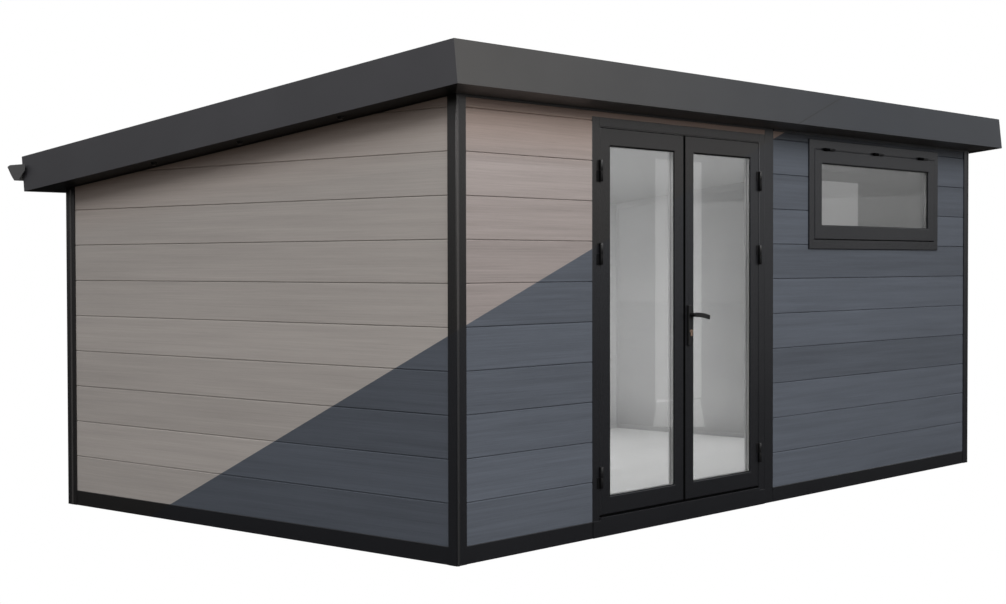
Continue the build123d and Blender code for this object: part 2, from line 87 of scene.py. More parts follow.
# Boards
BOARD_PITCH = 0.2
JOINT_HALF = 0.0005
JOINT_CHAMFER = 0.0036
FIRST_JOINT_DROP = 0.004
CEILING_DEPTH = 0.012
BOARD_TONES = (0.32, 0.68)
CEILING_TONES = (0.4, 0.6)
GRAIN_SHIFTS = (0, 50)
GRAIN_SKEW = 0.37
INNER_FACE_MARGIN = 0.001

# Margins for finding and cutting shapes
END_MARGIN = 0.001
HEAD_MARGIN = 1e-4
CUT_MARGIN = 1e-6

# Panes
SHEET = 0.004
PANE_COVER = 0.014
SPACER_WIDTH = 0.0155
GASKET_WIDTH = 0.003
GASKET_DEPTH = 0.003

# Gaps round the leaves and the sash, and the seals in them, with the near and far face of each lip
LEAF_GAP = 0.006
SASH_GAP = 0.004
SEAL_SETBACK = 0.001
SEAL_DEPTH = 0.009
SEAL_PLAY = 0.0016
MEETING_SEAL = 0.005
MEETING_COVER = 0.004
MEETING_LIPS = ((-0.0006, 0.007), (0.016, 0.022))
FOOT_SEAL = 0.0085
FOOT_LIPS = ((0.0, 0.008), (0.022, 0.032))

# Post beads
POST_BEAD_INSET = 0.011
POST_BEAD_WIDTH = 0.014
POST_BEAD_HEIGHT = 0.004
BACK_BEAD_SHARE = 0.55
BEAD_STEPS = 8

# Round fixings, each level as (lower radius, upper radius, height)
STUD_SIDES = 16
HINGE_SLEEVE = ((0.0075, 0.009, 0.002), (0.009, 0.009, 0.05), (0.009, 0.0075, 0.002))
PLATE_SCREW = ((0.0045, 0.0045, 0.0006), (0.0045, 0.0025, 0.0012))
ROOF_SCREW = ((0.009, 0.009, 0.0016), (0.0055, 0.005, 0.005))
SOFFIT_KNOB = ((0.019, 0.019, 0.003), (0.016, 0.012, 0.009))

# Window hinges
WINDOW_HINGE_RADIUS = 0.007
WINDOW_HINGE_APART = 0.2
SLEEVE_OVERHANG = 0.001
PLACE_DIGITS = 4

# Threshold and lock
LEAF_FOOT_GAP = 0.011
THRESHOLD_RIBS = (0.009, 0.021, 0.033)
THRESHOLD_RIB_WIDTH = 0.005
THRESHOLD_RIB_HEIGHT = 0.0018
KEY_SLOT_PROUD = 0.0004
KEY_SLOT_DEPTH = 0.002
KEY_SLOT_HALF_WIDTH = 0.0011
KEY_SLOT_HALF_HEIGHT = 0.0045
PLATE_SCREW_INSET = 0.012

# Roof
DECK_LIFT = 0.05
DECK_CROWN = 0.128
DECK_RIB_COUNT = 22
ROOF_SCREW_DEPTHS = (-1.45, -0.5, 0.5, 1.45)
ROOF_SCREW_SIDES = 8
SOFFIT_KNOB_REACH = 0.092
SOFFIT_KNOB_DEPTHS = (0.587, -0.117, -0.851)

# Gutter straps, measured from the edges of the gutter
STRAP_COUNT = 6
STRAP_HALF_WIDTH = 0.012
STRAP_WALL_INSET = 0.004
STRAP_LIP_INSET = 0.0035
STRAP_TOP_DROP = 0.003
STRAP_UNDER_DROP = 0.0055
STRAP_HOOK_INSETS = (0.014, 0.0115)
STRAP_HOOK_DROP = 0.016

# Soft edges on the metal nodes
EDGE_WELD = 0.00005
EDGE_RADIUS = 0.0014
EDGE_SEGMENTS = 2
EDGE_ANGLE = 40

# Finishes of the coats, as a colour and a sheen tint
FRAME_WARM = ((0.0095, 0.0092, 0.0091), (1.0, 0.97, 0.965))
FRAME_COOL = ((0.0087, 0.009, 0.0106), (0.94, 0.955, 1.0))
# The bead finishes are the frame's made several times lighter: a painted highlight down the posts.
BEAD_HIGHLIGHT_WARM = ((0.036, 0.0345, 0.0338), (1.0, 0.97, 0.965))
BEAD_HIGHLIGHT_COOL = ((0.018, 0.0182, 0.0185), (0.94, 0.96, 1.0))
# The side fascia finish is darker than the front's: painted shade on the sides.
SIDE_FASCIA_SHADED = ((0.032, 0.032, 0.0355), (0.98, 0.975, 1.0))
# The front fascia blends from the warm finish at its near end to the darker cool one: a change of finish
# spread out as a painted fall-off of light.
FASCIA_WARM_LIT = ((0.0415, 0.0405, 0.0392), (1.0, 0.99, 0.985))
FASCIA_COOL_SHADED = ((0.0135, 0.0163, 0.0218), (0.92, 0.95, 1.0))
NEUTRAL_SHEEN = (1.0, 1.0, 1.0)

# Colours
# Painted shadow line where the front fascia's finishes meet:
SHADOW_LINE_COLOUR = (0.006, 0.006, 0.006)
# Lighter than the fascia, as painted light on the gutter's end caps:
GUTTER_LIT_COLOUR = (0.055, 0.055, 0.056)
# Painted shade on the faces of the side fascias that look down:
SOFFIT_SHADE_COLOUR = (0.014, 0.0145, 0.0145)
FRONT_SOFFIT_COLOUR = (0.075, 0.077, 0.08)
DECK_COLOUR = (0.075, 0.077, 0.082)
FITTING_COLOUR = (0.006, 0.006, 0.0065)
HINGE_COLOUR = (0.004, 0.004, 0.0043)
SPACER_COLOUR = (0.8, 0.8, 0.8)
GREY_SPACER_COLOUR = (0.6, 0.6, 0.6)
BEIGE_COLOUR = (0.267, 0.236, 0.226)
# The side board colours are the front ones made lighter for beige and darker for slate: painted light and
# shade on the side walls.
BEIGE_SIDE_LIT_COLOUR = (0.299, 0.277, 0.260)
SLATE_COLOUR = (0.075, 0.0862, 0.1065)
SLATE_SIDE_SHADED_COLOUR = (0.0595, 0.0685, 0.085)
LINING_COLOUR = (0.5, 0.5, 0.5)
# Paler than the other linings: the leaves' pale room-side finish with painted light on their shaded
# reveals.
LEAF_LINING_LIT_COLOUR = (0.85, 0.85, 0.85)
SMEARED_GLASS = (0.972, 0.976, 0.975)
CLEAN_GLASS = (0.985, 0.988, 0.987)
# Far darker than black rubber: black rubber with painted shade, so the seals in the gaps read as shadow.
DARK_RUBBER = (0.0008, 0.0008, 0.0009)
LIGHT_RUBBER = (0.0018, 0.0018, 0.0019)
DARK_BRASS = (0.55, 0.36, 0.26)
LIGHT_BRASS = (0.8, 0.57, 0.43)

# Places in a noise where the low and the high value of a surface are reached
NOISE_LOW = 0.3
NOISE_HIGH = 0.7

# Coats: cloudy tone, and the texture as (scale, strength)
CLOUD_SCALE = 2.3
CLOUD_TONES = (0.92, 1.08)
PEEL_HEIGHT = 0.0006
PEEL_ROUGHNESS = (-0.05, 0.06)
FRAME_PEEL = (900, 0.1)
FASCIA_PEEL = (700, 0.12)
DECK_PEEL = (500, 0.2)
FITTING_PEEL = (1200, 0.12)
SPACER_PEEL = (800, 0.1)

# Grain of the boards, as (stretch, detail, roughness), and how its layers mix
STREAKS = ((1.7, 150, 1), 7, 0.68)
BANDS = ((0.8, 26, 1), 4, 0.55)
FIBRES = ((14, 900, 1), 3, 0.6)
BAND_SHARE = 0.42
FIBRE_SHARE = 0.2
TONE_SHARE = 0.24
GRAIN_STOPS = (0.32, 0.5, 0.68)
RELIEF_FIBRE_SHARE = 0.45
RELIEF_STRENGTH = 0.55
RELIEF_HEIGHT = 0.0011
BOARD_ROUGHNESS_RANGE = 0.18
BOARD_SPECULAR = 0.3

# Glass, rubber, floor and brass
SMEAR_SCALE = 5.0
SMEAR_ROUGHNESS = 0.02
GLASS_IOR = 1.45
RUBBER_SCALE = 260
RUBBER_STOPS = (0.35, 0.65)
RUBBER_ROUGHNESS = (0.6, 0.8)
RUBBER_SPECULAR = 0.02
RUBBER_STRENGTH = 0.2
RUBBER_HEIGHT = 0.0004
PLANK_LENGTH = 1.3
PLANK_WIDTH = 0.19
PLANK_JOINT = 0.0012
PLANK_TONES = (0.88, 0.83)
PLANK_JOINT_TONE = 0.7
PLANK_GRAIN = (2, 60, 60)
PLANK_GRAIN_SHARE = 0.12
PLANK_GRAIN_TONES = (0.6, 1)
PLANK_ROUGHNESS = (0.28, 0.42)
BRASS_GRAIN = (90, 90, 1500)
BRASS_ROUGHNESS = (0.22, 0.4)

# Stage
STAGE_HALF = 40
STAGE_LEVEL = -0.002
FLOOR_BOUNCE = (0.115, 0.095, 0.083)
FLOOR_MIRRORED = (0.02, 0.02, 0.02)
WHITE = (1, 1, 1)
# Colour of the sky from the horizon (0) to overhead (1)
SKY_STOPS = (
    (0.0, (0.06, 0.06, 0.06)), (0.05, (0.4, 0.4, 0.4)), (0.1, (0.98, 0.98, 0.98)),
    (0.15, (1.42, 1.42, 1.43)), (0.4, (0.87, 0.875, 0.89)), (1.0, (0.98, 0.99, 1.0)),
)
# Strength of the sky from the front of the stage (0) round to its back (1)
ROUND_LEVELS = (
    (0.0, 1.15), (0.165, 1.15), (0.24, 0.65), (0.31, 0.52),
    (0.79, 0.78), (0.85, 0.63), (0.92, 0.5), (1.0, 0.44),
)


# Camera

def camera_axes():
    """Right, down and forward directions of the photograph's camera."""
    forward = Vector((
        sin(CAMERA_YAW) * cos(CAMERA_PITCH),
        cos(CAMERA_YAW) * cos(CAMERA_PITCH),
        sin(CAMERA_PITCH),
    ))
    level = Vector((cos(CAMERA_YAW), -sin(CAMERA_YAW), 0))
    plumb = forward.cross(level)
    right = level * cos(CAMERA_ROLL) + plumb * sin(CAMERA_ROLL)
    down = plumb * cos(CAMERA_ROLL) - level * sin(CAMERA_ROLL)
    return right, down, forward


def pixel_ray(pixel):
    """Direction from the camera through a pixel of the photograph."""
    right, down, forward = camera_axes()
    across = (pixel[0] - IMAGE_WIDTH / 2) / FOCAL_PIXELS
    below = (pixel[1] - IMAGE_HEIGHT / 2) / FOCAL_PIXELS
    return forward + right * across + down * below


def tone_normal():
    """Normal of the plane where the boards and coats change finish, pointing to the lower side."""
    first, second = (pixel_ray(pixel) for pixel in TONE_LINE_PIXELS)
    return first.cross(second).normalized()


def make_camera():
    right, down, forward = camera_axes()
    data = bpy.data.cameras.new("camera")
    data.sensor_fit = "HORIZONTAL"
    data.sensor_width = SENSOR_WIDTH
    data.lens = FOCAL_PIXELS / IMAGE_WIDTH * SENSOR_WIDTH
    data.clip_end = VIEW_REACH
    camera = bpy.data.objects.new("camera", data)
    turn = Matrix((right, -down, -forward)).transposed().to_4x4()
    camera.matrix_world = Matrix.Translation(CAMERA_PLACE) @ turn
    scene.collection.objects.link(camera)
    scene.camera = camera


# Material helpers

def new_material(name):
    material = bpy.data.materials.new(name)
    material.use_nodes = True
    tree = material.node_tree
    return material, tree, tree.nodes["Principled BSDF"]


def add(tree, kind, values=None, **settings):
    """New shader node with socket values and settings."""
    node = tree.nodes.new(kind)
    for key, value in settings.items():
        setattr(node, key, value)
    for key, value in (values or {}).items():
        node.inputs[key].default_value = value
    return node


def part_place(tree):
    """Place on the part."""
    return add(tree, "ShaderNodeTexCoord").outputs["Object"]


def stretched(tree, output, scale):
    """Texture coordinates scaled by a vector."""
    coordinates = add(tree, "ShaderNodeTexCoord")
    mapping = add(tree, "ShaderNodeMapping", {"Scale": scale})
    tree.links.new(coordinates.outputs[output], mapping.inputs["Vector"])
    return mapping.outputs["Vector"]


def noise(tree, vector, scale=1.0, detail=4.0, roughness=0.55):
    node = add(tree, "ShaderNodeTexNoise", {"Scale": scale, "Detail": detail, "Roughness": roughness})
    tree.links.new(vector, node.inputs["Vector"])
    return node.outputs["Fac"]


def ramp(tree, factor, stops):
    """Colour ramp through (place, colour) stops."""
    node = add(tree, "ShaderNodeValToRGB")
    while len(node.color_ramp.elements) < len(stops):
        node.color_ramp.elements.new(0.5)
    for element, (place, colour) in zip(node.color_ramp.elements, stops):
        element.position = place
        element.color = (*colour, 1)
    tree.links.new(factor, node.inputs["Fac"])
    return node.outputs["Color"]


def noise_ramp(tree, factor, low, high):
    """Colour that goes from low to high over the middle of a noise."""
    return ramp(tree, factor, ((NOISE_LOW, low), (NOISE_HIGH, high)))


def spread(tree, factor, low, high, start=NOISE_LOW, end=NOISE_HIGH):
    """Maps a factor to a range of values."""
    values = {"From Min": start, "From Max": end, "To Min": low, "To Max": high}
    node = add(tree, "ShaderNodeMapRange", values)
    tree.links.new(factor, node.inputs["Value"])
    return node.outputs["Result"]


def blend_values(tree, first, second, share):
    """Weighted sum of two factors."""
    node = add(tree, "ShaderNodeMix", {"Factor": share})
    tree.links.new(first, node.inputs["A"])
    tree.links.new(second, node.inputs["B"])
    return node.outputs["Result"]


def mixed_colour(tree, factor, first, second):
    """Colour that goes from the first to the second with a factor."""
    node = add(tree, "ShaderNodeMix", data_type="RGBA")
    tree.links.new(factor, node.inputs[0])
    tree.links.new(first, node.inputs[6])
    tree.links.new(second, node.inputs[7])
    return node.outputs[2]


def mixed_shader(tree, factor, first, second):
    """Shader that goes from the first to the second with a factor."""
    node = add(tree, "ShaderNodeMixShader")
    tree.links.new(factor, node.inputs["Fac"])
    tree.links.new(first, node.inputs[1])
    tree.links.new(second, node.inputs[2])
    return node.outputs["Shader"]


def emboss(tree, shader, height, strength, distance):
    node = add(tree, "ShaderNodeBump", {"Strength": strength, "Distance": distance})
    tree.links.new(height, node.inputs["Height"])
    tree.links.new(node.outputs["Normal"], shader.inputs["Normal"])


def absolute(tree, value):
    node = add(tree, "ShaderNodeMath", operation="ABSOLUTE")
    tree.links.new(value, node.inputs[0])
    return node.outputs["Value"]


def axes_of(tree, vector):
    """X, Y and Z of a vector, by name."""
    node = add(tree, "ShaderNodeSeparateXYZ")
    tree.links.new(vector, node.inputs["Vector"])
    return node.outputs


def shade(colour, factor):
    return tuple(channel * factor for channel in colour)


# Where a colour changes on the part

def sloping_top(node):
    """Front point and normal of the sloping top of a side wall or rail."""
    points = [v.co for v in nodes[node].data.vertices]
    front = min(p.y for p in points)
    back = max(p.y for p in points)
    front_top = max(p.z for p in points if p.y < front + END_MARGIN)
    back_top = max(p.z for p in points if p.y > back - END_MARGIN)
    run = Vector((0, back - front, back_top - front_top))
    return Vector((points[0].x, front, front_top)), Vector((0, -run.z, run.y)).normalized()


def reach_along(tree, direction):
    """How far the place on the part lies along a direction."""
    along = add(tree, "ShaderNodeVectorMath", {1: direction}, operation="DOT_PRODUCT")
    tree.links.new(part_place(tree), along.inputs[0])
    return along.outputs["Value"]


def finish_side(tree):
    """0 above the change of finish and 1 below it."""
    normal = tone_normal()
    reach = CAMERA_PLACE.dot(normal)
    return spread(tree, reach_along(tree, normal), 0, 1, reach - FINISH_BLEND, reach + FINISH_BLEND)


def finish_shadow_line(tree):
    """1 on the thin line where the finish changes, 0 beside it: a painted shadow line."""
    normal = tone_normal()
    reach = CAMERA_PLACE.dot(normal)
    offset = add(tree, "ShaderNodeMath", {1: reach}, operation="SUBTRACT")
    tree.links.new(reach_along(tree, normal), offset.inputs[0])
    apart = absolute(tree, offset.outputs["Value"])
    return spread(tree, apart, 1, 0, FINISH_SHADOW_LINE / 2, FINISH_SHADOW_LINE)


def front_light_run(tree):
    """0 at the near end of the front and 1 past its middle: the change of finish, spread out as a painted
    fall-off of light from the near corner.
    """
    return spread(tree, reach_along(tree, Vector((1, 0, 0))), 0, 1, *FRONT_LIGHT_RUN)


def inside(tree):
    """1 on the room side of the panes and the wall faces, 0 outside."""
    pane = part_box("window_glass")[1].y
    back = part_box("back_wall")[0].y
    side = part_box("right_wall")[0].x
    axes = axes_of(tree, part_place(tree))
    result = spread(tree, axes["Y"], 0, 1, pane, pane + LINING_BLEND)
    for step in (
        spread(tree, axes["Y"], 1, 0, back, back + LINING_BLEND),
        spread(tree, absolute(tree, axes["X"]), 1, 0, side, side + LINING_BLEND),
    ):
        both = add(tree, "ShaderNodeMath", operation="MULTIPLY")
        tree.links.new(result, both.inputs[0])
        tree.links.new(step, both.inputs[1])
        result = both.outputs["Value"]
    return result


def painted_eaves_shadow(tree):
    """Painted shadow of the eaves: 0 on the open wall, rising to 1 just under the soffit."""
    front, up = sloping_top("left_top_rail")
    reach = front.dot(up) - DECK_LIFT
    return spread(tree, reach_along(tree, up), 0, 1, reach - EAVES_SHADE, reach)


def underside(tree):
    """1 on faces that look down, 0 on all others."""
    geometry = add(tree, "ShaderNodeNewGeometry")
    axes = axes_of(tree, geometry.outputs["True Normal"])
    return spread(tree, axes["Z"], 1, 0, *LOOKS_DOWN)


# Materials

def clouded(tree, cloud, colour):
    return noise_ramp(tree, cloud, *(shade(colour, tone) for tone in CLOUD_TONES))


def coat_colour(tree, shader, cloud, finishes, blend):
    """Colour and sheen tint of one finish, or of two that blend over the piece."""
    upper, upper_tint = finishes[0]
    if len(finishes) == 1:
        shader.inputs["Specular Tint"].default_value = (*upper_tint, 1)
        return clouded(tree, cloud, upper)
    lower, lower_tint = finishes[1]
    side = blend(tree)
    tint = ramp(tree, side, ((0, upper_tint), (1, lower_tint)))
    tree.links.new(tint, shader.inputs["Specular Tint"])
    return mixed_colour(tree, side, clouded(tree, cloud, upper), clouded(tree, cloud, lower))


def coated_metal(name, finishes, roughness, specular, peel, blend=finish_side, part=None, gloss=None):
    """Powder-coated metal: cloudy tone, fine orange-peel texture, uneven sheen.

    A part with a colour of its own is (where, colour), and its gloss is given if it differs. Under the
    side fascias that colour is painted shade.
    """
    material, tree, shader = new_material(name)
    place = part_place(tree)
    cloud = noise(tree, place, CLOUD_SCALE, 5)
    coat = coat_colour(tree, shader, cloud, finishes, blend)
    # Painted shadow line where the two finishes meet.
    if blend is front_light_run:
        coat = mixed_colour(tree, finish_shadow_line(tree), coat, clouded(tree, cloud, SHADOW_LINE_COLOUR))
    shader.inputs["Specular IOR Level"].default_value = specular
    if part:
        where, colour = part
        share = where(tree)
        coat = mixed_colour(tree, share, coat, clouded(tree, cloud, colour))
        if gloss is not None:
            level = spread(tree, share, specular, gloss, 0, 1)
            tree.links.new(level, shader.inputs["Specular IOR Level"])
    tree.links.new(coat, shader.inputs["Base Color"])
    scale, strength = peel
    texture = noise(tree, place, scale, 2)
    rough = spread(tree, texture, *(roughness + change for change in PEEL_ROUGHNESS))
    tree.links.new(rough, shader.inputs["Roughness"])
    emboss(tree, shader, texture, strength, PEEL_HEIGHT)
    return material


def plain_metal(name, colour, roughness, specular, peel):
    """Powder-coated metal in one finish."""
    return coated_metal(name, ((colour, NEUTRAL_SHEEN),), roughness, specular, peel)


def board_face(name, colour, contrast, roughness, eaves_shadow_tint=None):
    """Composite board: brushed grain along it, a tone of its own, and maybe a painted shadow under the
    eaves.
    """
    material, tree, shader = new_material(name)
    streaks, bands, fibres = (
        noise(tree, stretched(tree, "UV", stretch), detail=detail, roughness=rough)
        for stretch, detail, rough in (STREAKS, BANDS, FIBRES)
    )
    tone = add(tree, "ShaderNodeAttribute", attribute_name="tone")
    grain = blend_values(tree, streaks, bands, BAND_SHARE)
    grain = blend_values(tree, grain, fibres, FIBRE_SHARE)
    grain = blend_values(tree, grain, tone.outputs["Fac"], TONE_SHARE)

    def grained(tint):
        tones = (1 - contrast, 1, 1 + contrast)
        return ramp(tree, grain, [(stop, shade(tint, tone)) for stop, tone in zip(GRAIN_STOPS, tones)])

    face = grained(colour)
    # Painted eaves shadow: the grain darkened towards the soffit; on beige the tint also paints warm
    # bounce light.
    if eaves_shadow_tint:
        tint = tuple(channel * part for channel, part in zip(colour, eaves_shadow_tint))
        face = mixed_colour(tree, painted_eaves_shadow(tree), face, grained(tint))
    tree.links.new(face, shader.inputs["Base Color"])
    rough = spread(tree, streaks, roughness, roughness + BOARD_ROUGHNESS_RANGE)
    tree.links.new(rough, shader.inputs["Roughness"])
    shader.inputs["Specular IOR Level"].default_value = BOARD_SPECULAR
    relief = blend_values(tree, streaks, fibres, RELIEF_FIBRE_SHARE)
    emboss(tree, shader, relief, RELIEF_STRENGTH, RELIEF_HEIGHT)
    return material


def pane_glass(name, clarity=1.0):
    material, tree, shader = new_material(name)
    smear = noise(tree, part_place(tree), SMEAR_SCALE, 3)
    tree.links.new(spread(tree, smear, 0.0, SMEAR_ROUGHNESS), shader.inputs["Roughness"])
    colour = noise_ramp(tree, smear, shade(SMEARED_GLASS, clarity), shade(CLEAN_GLASS, clarity))
    tree.links.new(colour, shader.inputs["Base Color"])
    shader.inputs["Transmission Weight"].default_value = 1.0
    shader.inputs["IOR"].default_value = GLASS_IOR
    return material


def rubber(name):
    material, tree, shader = new_material(name)
    grain = noise(tree, part_place(tree), RUBBER_SCALE, 3)
    colour = ramp(tree, grain, tuple(zip(RUBBER_STOPS, (DARK_RUBBER, LIGHT_RUBBER))))
    tree.links.new(colour, shader.inputs["Base Color"])
    tree.links.new(spread(tree, grain, *RUBBER_ROUGHNESS), shader.inputs["Roughness"])
    shader.inputs["Specular IOR Level"].default_value = RUBBER_SPECULAR
    emboss(tree, shader, grain, RUBBER_STRENGTH, RUBBER_HEIGHT)
    return material


def pale_floor_board(name):
    """Pale laminate floor: broad planks with fine grain and thin joints."""
    material, tree, shader = new_material(name)
    first, second, joint = (
        (*shade(WHITE, tone), 1) for tone in (*PLANK_TONES, PLANK_JOINT_TONE)
    )
    planks = add(tree, "ShaderNodeTexBrick", {
        "Color1": first, "Color2": second, "Mortar": joint,
        "Scale": 1.0, "Mortar Size": PLANK_JOINT, "Brick Width": PLANK_LENGTH, "Row Height": PLANK_WIDTH,
    })
    tree.links.new(part_place(tree), planks.inputs["Vector"])
    grain = noise(tree, stretched(tree, "Object", PLANK_GRAIN), detail=5)
    tint = add(
        tree, "ShaderNodeMix", {"Factor": PLANK_GRAIN_SHARE}, data_type="RGBA", blend_type="MULTIPLY",
    )
    tree.links.new(planks.outputs["Color"], tint.inputs["A"])
    tones = noise_ramp(tree, grain, *(shade(WHITE, tone) for tone in PLANK_GRAIN_TONES))
    tree.links.new(tones, tint.inputs["B"])
    tree.links.new(tint.outputs["Result"], shader.inputs["Base Color"])
    tree.links.new(spread(tree, grain, *PLANK_ROUGHNESS), shader.inputs["Roughness"])
    return material


def brushed_brass(name):
    material, tree, shader = new_material(name)
    grain = noise(tree, stretched(tree, "Object", BRASS_GRAIN), detail=3)
    tree.links.new(noise_ramp(tree, grain, DARK_BRASS, LIGHT_BRASS), shader.inputs["Base Color"])
    tree.links.new(spread(tree, grain, *BRASS_ROUGHNESS), shader.inputs["Roughness"])
    shader.inputs["Metallic"].default_value = 1.0
    return material


frame_coat = coated_metal(
    "frame_coat", (FRAME_WARM, FRAME_COOL), roughness=0.3, specular=0.5, peel=FRAME_PEEL,
    part=(inside, LINING_COLOUR),
)
# The bead coat is lighter than the frame coat: a painted highlight along the posts.
bead_highlight_coat = coated_metal(
    "bead_highlight_coat", (BEAD_HIGHLIGHT_WARM, BEAD_HIGHLIGHT_COOL), roughness=0.3, specular=0.6, peel=FRAME_PEEL,
)
# The leaves' coat has a paler room side than the frame coat: painted light on the reveals behind the
# panes.
leaf_coat = coated_metal(
    "leaf_coat", (FRAME_WARM, FRAME_COOL), roughness=0.3, specular=0.5, peel=FRAME_PEEL,
    part=(inside, LEAF_LINING_LIT_COLOUR),
)
# The side fascias: a darker finish than the front's, and near-black faces that look down, both painted
# shade.
fascia_coat = coated_metal(
    "fascia_coat", (SIDE_FASCIA_SHADED,), roughness=0.44, specular=0.45, peel=FASCIA_PEEL,
    part=(underside, SOFFIT_SHADE_COLOUR), gloss=0.05,
)
# Front fascia: its two finishes blend along it as a painted fall-off of light, with a painted shadow line
# where they meet.
front_fascia_coat = coated_metal(
    "front_fascia_coat", (FASCIA_WARM_LIT, FASCIA_COOL_SHADED), roughness=0.44, specular=0.45, peel=FASCIA_PEEL,
    blend=front_light_run, part=(underside, FRONT_SOFFIT_COLOUR), gloss=0.2,
)
# The gutter coat is lighter than the fascia: painted light on the gutter's end caps.
gutter_coat = plain_metal("gutter_coat", GUTTER_LIT_COLOUR, roughness=0.44, specular=0.45, peel=FASCIA_PEEL)
deck_coat = plain_metal("deck_coat", DECK_COLOUR, roughness=0.55, specular=0.4, peel=DECK_PEEL)
fitting_coat = plain_metal("fitting_coat", FITTING_COLOUR, roughness=0.36, specular=0.4, peel=FITTING_PEEL)
hinge_coat = plain_metal("hinge_coat", HINGE_COLOUR, roughness=0.5, specular=0.12, peel=FITTING_PEEL)
spacer_coat = plain_metal("spacer_coat", SPACER_COLOUR, roughness=0.4, specular=0.5, peel=SPACER_PEEL)
grey_spacer_coat = plain_metal(
    "grey_spacer_coat", GREY_SPACER_COLOUR, roughness=0.4, specular=0.5, peel=SPACER_PEEL,
)
# The eaves tints paint shadow under the eaves, and warm bounce light on the beige.
beige_board = board_face(
    "beige_board", BEIGE_COLOUR, contrast=0.3, roughness=0.52, eaves_shadow_tint=(1.08, 0.92, 0.81),
)
slate_board = board_face(
    "slate_board", SLATE_COLOUR, contrast=0.42, roughness=0.5, eaves_shadow_tint=(0.68, 0.69, 0.69),
)
# The side walls' boards are copies of the front ones with painted light on the beige and painted shade on
# the slate.
beige_side_lit_board = board_face(
    "beige_side_lit_board", BEIGE_SIDE_LIT_COLOUR, contrast=0.22, roughness=0.52, eaves_shadow_tint=(1.0, 0.92, 0.88),
)
slate_side_shaded_board = board_face("slate_side_shaded_board", SLATE_SIDE_SHADED_COLOUR, contrast=0.36, roughness=0.5)
lining_board = board_face("lining_board", LINING_COLOUR, contrast=0.06, roughness=0.55)
clear_glass = pane_glass("clear_glass")
# The window glass is the door glass made darker: painted shade over the view through it.
darker_window_glass = pane_glass("darker_window_glass", clarity=0.925)
# Black rubber darkened well past rubber's own colour: painted shade, so the seals read as shadowed gaps.
shadow_black_rubber = rubber("shadow_black_rubber")
floor_laminate = pale_floor_board("floor_laminate")
brass = brushed_brass("brass")


# Piece helpers

def make_piece(name, bm, materials, body, replaced=()):
    """Mesh object from a bmesh, riding on a body."""
    mesh = bpy.data.meshes.new(name)
    bmesh.ops.recalc_face_normals(bm, faces=bm.faces)
    bm.to_mesh(mesh)
    bm.free()
    for material in materials:
        mesh.materials.append(material)
    piece = bpy.data.objects.new(name, mesh)
    scene.collection.objects.link(piece)
    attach(piece, body)
    if replaced:
        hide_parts(*replaced)
    return piece


def block(bm, low, high):
    """Box between two corners."""
    corners = [
        bm.verts.new((x, y, z))
        for x in (low[0], high[0]) for y in (low[1], high[1]) for z in (low[2], high[2])
    ]
    for loop in ((0, 1, 3, 2), (4, 6, 7, 5), (0, 4, 5, 1), (2, 3, 7, 6), (0, 2, 6, 4), (1, 5, 7, 3)):
        bm.faces.new([corners[i] for i in loop])


def ring(bm, left, right, foot, top, width, front, back):
    """Rectangular ring with mitred corners, upright in the plane of the front."""
    rings = []
    for y in (front, back):
        for inset in (0, width):
            rings.append([
                bm.verts.new((x, y, z)) for x, z in (
                    (left + inset, foot + inset), (right - inset, foot + inset),
                    (right - inset, top - inset), (left + inset, top - inset),
                )
            ])
    front_outer, front_inner, back_outer, back_inner = rings
    for i in range(4):
        j = (i + 1) % 4
        bm.faces.new((front_outer[i], front_outer[j], front_inner[j], front_inner[i]))
        bm.faces.new((back_outer[i], back_inner[i], back_inner[j], back_outer[j]))
        bm.faces.new((front_outer[i], back_outer[i], back_outer[j], front_outer[j]))
        bm.faces.new((front_inner[i], front_inner[j], back_inner[j], back_inner[i]))


def portal(bm, left, right, foot, head, width, front, back):
    """Two upright strips and a strip across between their heads."""
    block(bm, (left, front, foot), (left + width, back, head))
    block(bm, (right - width, front, foot), (right, back, head))
    block(bm, (left + width, front, head - width), (right - width, back, head))


def stud(bm, place, axis, levels, sides=STUD_SIDES):
    """Round fixing, stacked from (lower radius, upper radius, height) levels along an axis."""
    turn = axis.to_track_quat("Z", "Y").to_matrix().to_4x4()
    foot = Vector(place)
    for lower, upper, height in levels:
        matrix = Matrix.Translation(foot + axis * (height / 2)) @ turn
        bmesh.ops.create_cone(
            bm, cap_ends=True, segments=sides, radius1=lower, radius2=upper, depth=height, matrix=matrix,
        )
        foot = foot + axis * height


def cut(bm, point, normal, clear=False):
    """Cuts a mesh along a plane, and clears what lies beyond it if asked."""
    geometry = bm.verts[:] + bm.edges[:] + bm.faces[:]
    bmesh.ops.bisect_plane(
        bm, geom=geometry, dist=CUT_MARGIN, plane_co=point, plane_no=normal, clear_outer=clear,
    )


# Board walls

BEIGE, SLATE, LINING = 0, 1, 2


